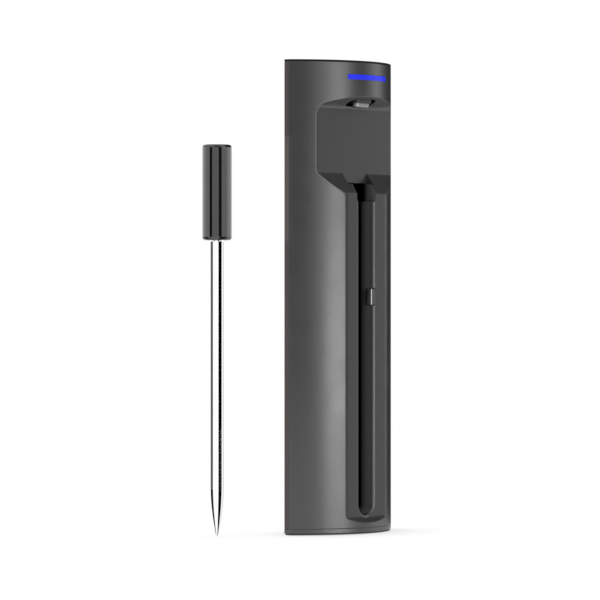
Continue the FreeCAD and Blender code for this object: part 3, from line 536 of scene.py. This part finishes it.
def make_housing():
    """The front housing as a fine closed shell: an outer and an inner sheet, joined round the edge.

    The grid is finest where the shape turns. A wall square to the front is one narrow step wide.
    """
    bar_low, bar_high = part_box("led_light_bar")
    bar_edge = bar_high.x / MM + BAR_GAP
    bar_bottom = bar_low.z / MM - BAR_GAP
    bar_top = bar_high.z / MM + BAR_GAP
    leaf_low, leaf_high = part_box("stem_contact")
    window_low = leaf_low.z / MM - WINDOW_GAP
    window_high = leaf_high.z / MM + WINDOW_GAP
    half = crown_half / MM
    low = housing_low.z / MM
    high = housing_high.z / MM
    back = housing_high.y / MM
    right = lines((0, 3.4, 0.3), (3.4, 4.9, 0.07), (4.9, 5.2, 0.05), (5.2, 6.66, 0.2), (6.66, 6.9, 0.04),
                  (6.9, bar_edge, 0.25), (bar_edge, bar_edge + BAR_STEP, BAR_STEP),
                  (bar_edge + BAR_STEP, 21.4, 0.22), (21.4, half, 0.5))
    across = np.concatenate([-right[:0:-1], right])
    up = lines((low, low + END_ZONE, 0.05), (low + END_ZONE, 3, 0.2), (3, 12.2, 0.14), (12.2, window_low, 3),
               (window_low, window_low + WINDOW_STEP, WINDOW_STEP),
               (window_low + WINDOW_STEP, window_high, 1),
               (window_high, window_high + WINDOW_STEP, WINDOW_STEP),
               (window_high + WINDOW_STEP, 111, 3), (111, 122.2, 0.13), (122.2, 130, 1.5), (130, 142, 0.3),
               (142, 147.8, 0.1), (147.8, bar_bottom, 0.8), (bar_bottom, bar_bottom + BAR_STEP, BAR_STEP),
               (bar_bottom + BAR_STEP, bar_top, 0.4), (bar_top, bar_top + BAR_STEP, BAR_STEP),
               (bar_top + BAR_STEP, high - END_ZONE, 0.6), (high - END_ZONE, high, 0.05))
    x, z = np.meshgrid(across, up)
    well = well_mask(x, z)
    # The contact's well is cut back only to the pocket's floor; its faces get the socket finish, painted
    # black as the shade of a deep hole.
    outer = np.where(well, POCKET_FLOOR, np.minimum(front_depth(x, z), back))
    in_bar = np.abs(x) < bar_edge + BAR_STEP / 2
    in_bar &= (z > bar_bottom + BAR_STEP / 2) & (z < bar_top + BAR_STEP / 2)
    outer = np.where(in_bar, outer + BAR_SLOT, outer)
    in_window = (x > WINDOW[0]) & (x < WINDOW[1])
    in_window &= (z > window_low + WINDOW_STEP / 2) & (z < window_high + WINDOW_STEP / 2)
    outer = np.where(in_window, np.maximum(outer, WINDOW_FLOOR), outer)
    edge = np.minimum(z - low, high - z)
    outer = outer + END_ROUND * np.maximum(1 - edge / END_ROUND_HEIGHT, 0) ** 2
    inner_half = math.sqrt((CROWN_RADIUS / MM - WALL) ** 2 - (CROWN_AXIS.y / MM - back) ** 2)
    inner_x = x * inner_half / half
    inner = np.minimum(np.maximum(front_depth(inner_x, z, WALL), outer + LEAST_WALL), back)
    sheets = [np.stack([x, np.minimum(outer, back), z], -1), np.stack([inner_x, inner, z], -1)]
    points = np.concatenate([sheet.reshape(-1, 3) for sheet in sheets]) * MM
    rows, columns = x.shape
    faces = grid_faces(rows, columns, 0, False) + grid_faces(rows, columns, rows * columns, True)
    faces += rim_faces(rows, columns)
    mesh = bpy.data.meshes.new("housing_shell")
    mesh.from_pydata([tuple(point) for point in points], [], faces)
    for finish in HOUSING_FINISHES:
        mesh.materials.append(MATERIALS[finish])
    kinds = housing_kinds(x, z, outer, well, edge).ravel().tolist()
    mesh.polygons.foreach_set("material_index", kinds + [0] * (len(faces) - len(kinds)))
    smooth_by_angle(mesh, HOUSING_SHARP)
    mesh.update()
    add_piece("housing_shell", mesh, "case", "housing", "front_housing")


def make_posts():
    """The screw posts behind the housing: tubes from its inner face to the back cover and the board."""
    vertices = []
    faces = []
    steps = 32
    turn = 2 * math.pi * np.arange(steps) / steps
    spots = [(*spot, housing_high.y / MM) for spot in COVER_POSTS]
    spots += [(*spot, BOARD_FRONT) for spot in BOARD_POSTS]
    rings = ((POST_RADIUS, True), (POST_RADIUS, False), (POST_BORE, False), (POST_BORE, True))
    for spot_x, spot_z, top in spots:
        start = len(vertices)
        for reach, rooted in rings:
            x = spot_x + reach * np.cos(turn)
            z = spot_z + reach * np.sin(turn)
            y = front_depth(x, z, WALL) - POST_SINK if rooted else np.full(steps, top)
            vertices += [tuple(point) for point in np.stack([x, y, z], -1) * MM]
        for ring in range(len(rings)):
            near = start + ring * steps
            far = start + (ring + 1) % len(rings) * steps
            for number in range(steps):
                after = (number + 1) % steps
                faces.append((near + number, far + number, far + after, near + after))
    mesh = bpy.data.meshes.new("screw_posts")
    mesh.from_pydata(vertices, [], faces)
    mesh.materials.append(MATERIALS["shell"])
    smooth_by_angle(mesh, TURNED_SHARP)
    add_piece("screw_posts", mesh, "case", "housing", "front_housing")


# Sizes of the probe in millimetres.
TURN_STEPS = 128
SLEEVE_WALL = 1.1                    # the ends of the handle are rounded by as much
SLEEVE_END = 1.4
MOUTH_GAP = 0.7                      # between the stem and the handle's lower opening
MOUTH_CHAMFER = 0.15
HOLE_RADIUS = 2.65                   # the opening in the handle's top, for the end contact
HOLE_CHAMFER = 0.2
TUBE_WALL = 0.35
SPIGOT = 4.0                         # the part of the tip inside the tube
SPIGOT_INSET = 0.36
TIP_FLAT = 0.3                       # radius of the blunted point, and the rounding of its edge
TIP_ROUND = 0.15
OGIVE_STEPS = 32
SENSOR_BORE = 1.0
SENSOR_BORE_LOW = 7.0
BUTTON_BOTTOM = 2.1                  # depths below the top of the end contact
FLANGE_TOP = 1.3
DISH = 0.06
FLANGE_GAP = 0.15
BUTTON_GAP = 0.05
BUTTON_ROUND = 0.2


def lathe(name, profile):
    """A closed outline of (radius, z) points in millimetres, turned round the probe's axis."""
    steps = TURN_STEPS
    stem_low, stem_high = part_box("probe_stem")
    centre = (stem_low + stem_high) / 2
    vertices = []
    rings = []
    for radius, z in profile:
        if radius < 1e-6:
            rings.append([len(vertices)])
            vertices.append((centre.x, centre.y, z * MM))
        else:
            rings.append(list(range(len(vertices), len(vertices) + steps)))
            for number in range(steps):
                turn = 2 * math.pi * number / steps
                vertices.append((centre.x + radius * MM * math.cos(turn),
                                 centre.y + radius * MM * math.sin(turn), z * MM))
    faces = []
    for ring, following in zip(rings, rings[1:] + rings[:1]):
        for number in range(steps):
            after = (number + 1) % steps
            if len(ring) == 1 and len(following) == 1:
                break
            if len(ring) == 1:
                faces.append((ring[0], following[after], following[number]))
            elif len(following) == 1:
                faces.append((ring[number], ring[after], following[0]))
            else:
                faces.append((ring[number], ring[after], following[after], following[number]))
    mesh = bpy.data.meshes.new(name)
    mesh.from_pydata(vertices, [], faces)
    return mesh


def arc(centre_r, centre_z, radius, start, end, steps):
    """Points of an arc from start to end degrees, 0 outwards and 90 up."""
    out = []
    for number in range(steps + 1):
        turn = math.radians(start + (end - start) * number / steps)
        out.append((centre_r + radius * math.cos(turn), centre_z + radius * math.sin(turn)))
    return out


def turned(name, node, slot_name, finish, profile):
    """A piece of the probe made by turning an outline."""
    mesh = lathe(name, profile)
    mesh.materials.append(MATERIALS[finish])
    smooth_by_angle(mesh, TURNED_SHARP)
    add_piece(name, mesh, "probe", slot_name, node)


def make_probe():
    """The turned pieces of the probe: handle, stem, tip and end contact."""
    sleeve_low, sleeve_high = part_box("handle_sleeve")
    stem_low, stem_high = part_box("probe_stem")
    _, tip_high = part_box("probe_tip")
    _, button_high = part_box("handle_end_contact")
    radius = (sleeve_high.x - sleeve_low.x) / 2 / MM
    inner = radius - SLEEVE_WALL
    low = sleeve_low.z / MM
    high = sleeve_high.z / MM
    stem = (stem_high.x - stem_low.x) / 2 / MM
    mouth = stem + MOUTH_GAP
    sleeve = [(mouth, low + MOUTH_CHAMFER), (mouth + MOUTH_CHAMFER, low)]
    sleeve += arc(inner, low + SLEEVE_WALL, SLEEVE_WALL, -90, 0, 12)
    sleeve += arc(inner, high - SLEEVE_WALL, SLEEVE_WALL, 0, 90, 12)
    sleeve += [(HOLE_RADIUS + HOLE_CHAMFER, high), (HOLE_RADIUS, high - HOLE_CHAMFER),
               (HOLE_RADIUS, high - SLEEVE_END), (inner, high - SLEEVE_END), (inner, low + SLEEVE_END),
               (mouth, low + SLEEVE_END)]
    turned("handle_shell", "handle_sleeve", "handle_ceramic", "ceramic", sleeve)
    seam = tip_high.z / MM - SPIGOT
    top = stem_high.z / MM
    tube = [(stem, seam), (stem, top), (stem - TUBE_WALL, top), (stem - TUBE_WALL, seam)]
    turned("stem_tube", "probe_stem", "stem_steel", "steel", tube)
    nose = (seam ** 2 + (stem - TIP_FLAT) ** 2) / (2 * (stem - TIP_FLAT))
    heights = [seam * (number / OGIVE_STEPS) for number in range(1, OGIVE_STEPS + 1)]
    ogive = [(stem - nose + math.sqrt(nose ** 2 - (seam - z) ** 2), z) for z in heights]
    tip = [(0, 0)] + arc(TIP_FLAT - TIP_ROUND, TIP_ROUND, TIP_ROUND, -90, -20, 4) + ogive
    tip += [(stem - SPIGOT_INSET, seam), (stem - SPIGOT_INSET, seam + SPIGOT), (SENSOR_BORE, seam + SPIGOT),
            (SENSOR_BORE, SENSOR_BORE_LOW), (0, SENSOR_BORE_LOW)]
    turned("tip_point", "probe_tip", "stem_steel", "steel", tip)
    top = button_high.z / MM
    flange = inner - FLANGE_GAP
    face = HOLE_RADIUS - BUTTON_GAP
    button = [(0, top - BUTTON_BOTTOM), (flange, top - BUTTON_BOTTOM), (flange, top - FLANGE_TOP),
              (face, top - FLANGE_TOP)]
    button += arc(face - BUTTON_ROUND, top - BUTTON_ROUND, BUTTON_ROUND, 0, 90, 5)
    button += [(face - 0.9, top), (face - 1.0, top - DISH), (0, top - DISH)]
    turned("end_button", "handle_end_contact", "contact_metal", "nickel", button)


def make_springs():
    """The plunger's two springs, in a mesh of their own."""
    mesh = clean_copy("plunger_springs", "socket_springs", "spring")
    springs = add_piece("plunger_springs", mesh, "case", "spring_steel", "socket_springs")
    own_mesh(springs)


def make_case():
    make_housing()
    make_posts()
    make_springs()
    refined("back_shell", "back_cover", "cover", "cover", 0.25 * MM)
    refined("top_cap_shell", "top_end_cap", "cap", "cap", 0.15 * MM)
    refined("bottom_cap_shell", "bottom_end_cap", "cap", "shell", 0.08 * MM)


# ---------------------------------------------------------------- studio

FLOOR_GAP = 0.0002                   # cards and the object stay this far above the floor
FLOOR_HALF = 6.0
CARD_LOW = 0.035                     # the cards' lower edge, high enough not to shade the floor
CARD_HIGH = 0.6
TIP_CARD_HIGH = 0.014                # the probe's point reflects darker cards below this height
FAR_CARD = 0.30                      # radii of the cards round the case, and of those round the probe
MIDDLE_CARD = 0.28
LOW_CARD = 0.13
LOW_CARD_HIGH = 0.04
LOW_CARD_INNER = 0.03
LIMB_CARD_HIGH = 0.01
PROBE_CARD = 0.022
TIP_CARD_INNER = 0.0005
SLEEVE_MARGIN = 0.003                # the handle's cards reach this far above it
CARD_FACET = 3                       # degrees of a card's facets
SOFTBOX_DISTANCE = 0.45

# Cards as (first bearing, last bearing, tone). A tone of 0 is black felt.
HANDLE_STRIPS = [(-175, -90, 1.6), (-90, -52, 1.25), (-52, -33, 0), (-33, 12.5, 1.0), (12.5, 33, 0),
                 (33, 75, 1.15), (75, 175, 1.6)]
STEM_STRIPS = [(-175, -118, 1.15), (-118, -65, 0.11), (-65, 22, 1.15), (22, 76, 0), (76, 104, 1.1),
               (104, 130, 0.75), (130, 175, 1.1)]
TIP_STRIPS = [(start, end, 0 if tone < 0.5 else tone) for start, end, tone in STEM_STRIPS]


def make_world():
    """Even white light from all sides."""
    world = bpy.data.worlds.new("white_tent")
    world.use_nodes = True
    world.node_tree.nodes["Background"].inputs["Color"].default_value = (1, 1, 1, 1)
    world.node_tree.nodes["Background"].inputs["Strength"].default_value = 1.0
    bpy.context.scene.world = world
    bpy.context.scene.view_settings.view_transform = "Standard"


def bearing(degrees):
    """Horizontal direction from the object, turned to the right of the camera by degrees."""
    angle = math.radians(degrees)
    return -AWAY * math.cos(angle) + RIGHT * math.sin(angle)


def glow_material(name, tone):
    """A card's finish: black felt at tone 0, otherwise an even glow of that radiance."""
    shader = Shader(name, Roughness=1.0, Specular_IOR_Level=0.0, Emission_Strength=1.0)
    cloud = shader.noise(0.02)
    shader.colour(cloud, [(0.3, 0.0), (0.7, 0.004)])
    shader.link(shader.ramp(cloud, [(0.3, tone), (0.7, tone * 1.01)]), shader.main.inputs["Emission Color"])
    return shader.material


def curved_card(name, centre, radius, stretches, low, high, blocks_diffuse=False, shades=True, inner=None):
    """Upright strips of a cylinder round centre. stretches holds (first bearing, last bearing, tone).

    With inner, each strip also runs along the floor, from the cylinder in to that radius. Without
    shades, the floor's shading ignores the card. Diffuse light passes it unless it blocks_diffuse.
    """
    vertices = []
    faces = []
    kinds = []
    mesh = bpy.data.meshes.new(name)
    for kind, (start, end, tone) in enumerate(stretches):
        mesh.materials.append(glow_material(f"{name}_{kind}", tone))
        steps = max(2, round(abs(end - start) / CARD_FACET))
        first = len(vertices)
        for number in range(steps + 1):
            toward = bearing(start + (end - start) * number / steps)
            spot = centre + toward * radius
            foot = centre + toward * (inner or radius)
            vertices += [(foot.x, foot.y, low), (spot.x, spot.y, low), (spot.x, spot.y, high)]
        for n in range(first, len(vertices) - 3, 3):
            faces.append((n + 1, n + 2, n + 5, n + 4))
            kinds.append(kind)
            if inner:
                faces.append((n, n + 1, n + 4, n + 3))
                kinds.append(kind)
    mesh.from_pydata(vertices, [], faces)
    mesh.polygons.foreach_set("material_index", kinds)
    obj = bpy.data.objects.new(name, mesh)
    bpy.context.collection.objects.link(obj)
    obj.visible_camera = False
    obj.visible_diffuse = blocks_diffuse
    obj.visible_shadow = shades


def softbox(name, degrees, width, height, middle, radiance):
    """An upright rectangular light that faces the case from this bearing."""
    light = bpy.data.lights.new(name, "AREA")
    light.shape = "RECTANGLE"
    light.size = width
    light.size_y = height
    light.energy = radiance * width * height * math.pi
    obj = bpy.data.objects.new(name, light)
    spot = CROWN_AXIS + bearing(degrees) * SOFTBOX_DISTANCE
    obj.location = (spot.x, spot.y, middle)
    obj.rotation_mode = "QUATERNION"
    obj.rotation_quaternion = (-bearing(degrees)).to_track_quat("-Z", "Y")
    bpy.context.collection.objects.link(obj)
    obj.visible_camera = False


def make_floor():
    """A floor as white as the background, with a painted contact shadow: its glow darkens only where
    something stands close to it.
    """
    mesh = bpy.data.meshes.new("floor")
    corners = [(x * FLOOR_HALF, y * FLOOR_HALF, 0) for x, y in ((-1, -1), (1, -1), (1, 1), (-1, 1))]
    mesh.from_pydata(corners, [], [(0, 1, 2, 3)])
    shader = Shader("pale_floor", Roughness=1.0, Specular_IOR_Level=0.0, Emission_Strength=1.0)
    shader.main.inputs["Base Color"].default_value = (0, 0, 0, 1)
    # Painted contact shadow: ambient occlusion dims the floor's glow near whatever stands close to it.
    near = shader.add("ShaderNodeAmbientOcclusion", Distance=0.03)
    near.samples = 8
    glow = shader.ramp(near.outputs["AO"], [(0.0, 0.45), (0.9, 1.0)])
    shader.link(glow, shader.main.inputs["Emission Color"])
    mesh.materials.append(shader.material)
    floor = bpy.data.objects.new("floor", mesh)
    bpy.context.collection.objects.link(floor)
    floor.location.z = -FLOOR_GAP


def make_lights():
    """Cards that give the glossy faces something to reflect, and the softboxes that light the front."""
    sleeve_low, sleeve_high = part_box("handle_sleeve")
    probe = (sleeve_low + sleeve_high) / 2
    curved_card("front_card", CROWN_AXIS, FAR_CARD, [(-22, 22, 0.25)], CARD_LOW, CARD_HIGH)
    curved_card("middle_card", CROWN_AXIS, MIDDLE_CARD, [(66, 94, 0)], 0, CARD_HIGH, shades=False)
    curved_card("right_card", CROWN_AXIS, FAR_CARD, [(122, 215, 0)], 0, CARD_HIGH, True, shades=False)
    curved_card("right_low_card", CROWN_AXIS, LOW_CARD, [(122, 215, 0)], FLOOR_GAP, LOW_CARD_HIGH,
                shades=False, inner=LOW_CARD_INNER)
    curved_card("limb_card", CROWN_AXIS, FAR_CARD, [(152, 215, 0)], FLOOR_GAP, LIMB_CARD_HIGH,
                shades=False, inner=LOW_CARD)
    curved_card("handle_cards", probe, PROBE_CARD, HANDLE_STRIPS, sleeve_low.z,
                sleeve_high.z + SLEEVE_MARGIN)
    curved_card("stem_cards", probe, PROBE_CARD, STEM_STRIPS, CARD_LOW, sleeve_low.z)
    curved_card("stem_low_cards", probe, PROBE_CARD, STEM_STRIPS, TIP_CARD_HIGH, CARD_LOW, shades=False)
    curved_card("tip_cards", probe, PROBE_CARD, TIP_STRIPS, FLOOR_GAP, TIP_CARD_HIGH, shades=False,
                inner=TIP_CARD_INNER)
    softbox("front_softbox_low", 52, 0.23, 0.08, 0.04, 6.8)
    softbox("front_softbox_high", 54, 0.17, 0.35, 0.255, 1.65)
    softbox("right_softbox", 113, 0.06, 0.5, 0.25, 1.8)


def make_camera():
    data = bpy.data.cameras.new("camera")
    data.sensor_width = SENSOR
    data.lens = SENSOR * VIEW_DISTANCE / VIEW_WIDTH
    data.shift_y = HORIZON_SHIFT
    data.clip_end = 20
    camera = bpy.data.objects.new("camera", data)
    bpy.context.collection.objects.link(camera)
    camera.location = CROWN_AXIS + RIGHT * VIEW_SIDE - AWAY * VIEW_DISTANCE + Vector((0, 0, VIEW_HEIGHT))
    camera.rotation_mode = "QUATERNION"
    camera.rotation_quaternion = AWAY.to_track_quat("-Z", "Y")
    bpy.context.scene.camera = camera


finish_nodes()
make_case()
make_probe()
make_world()
make_floor()
make_lights()
make_camera()
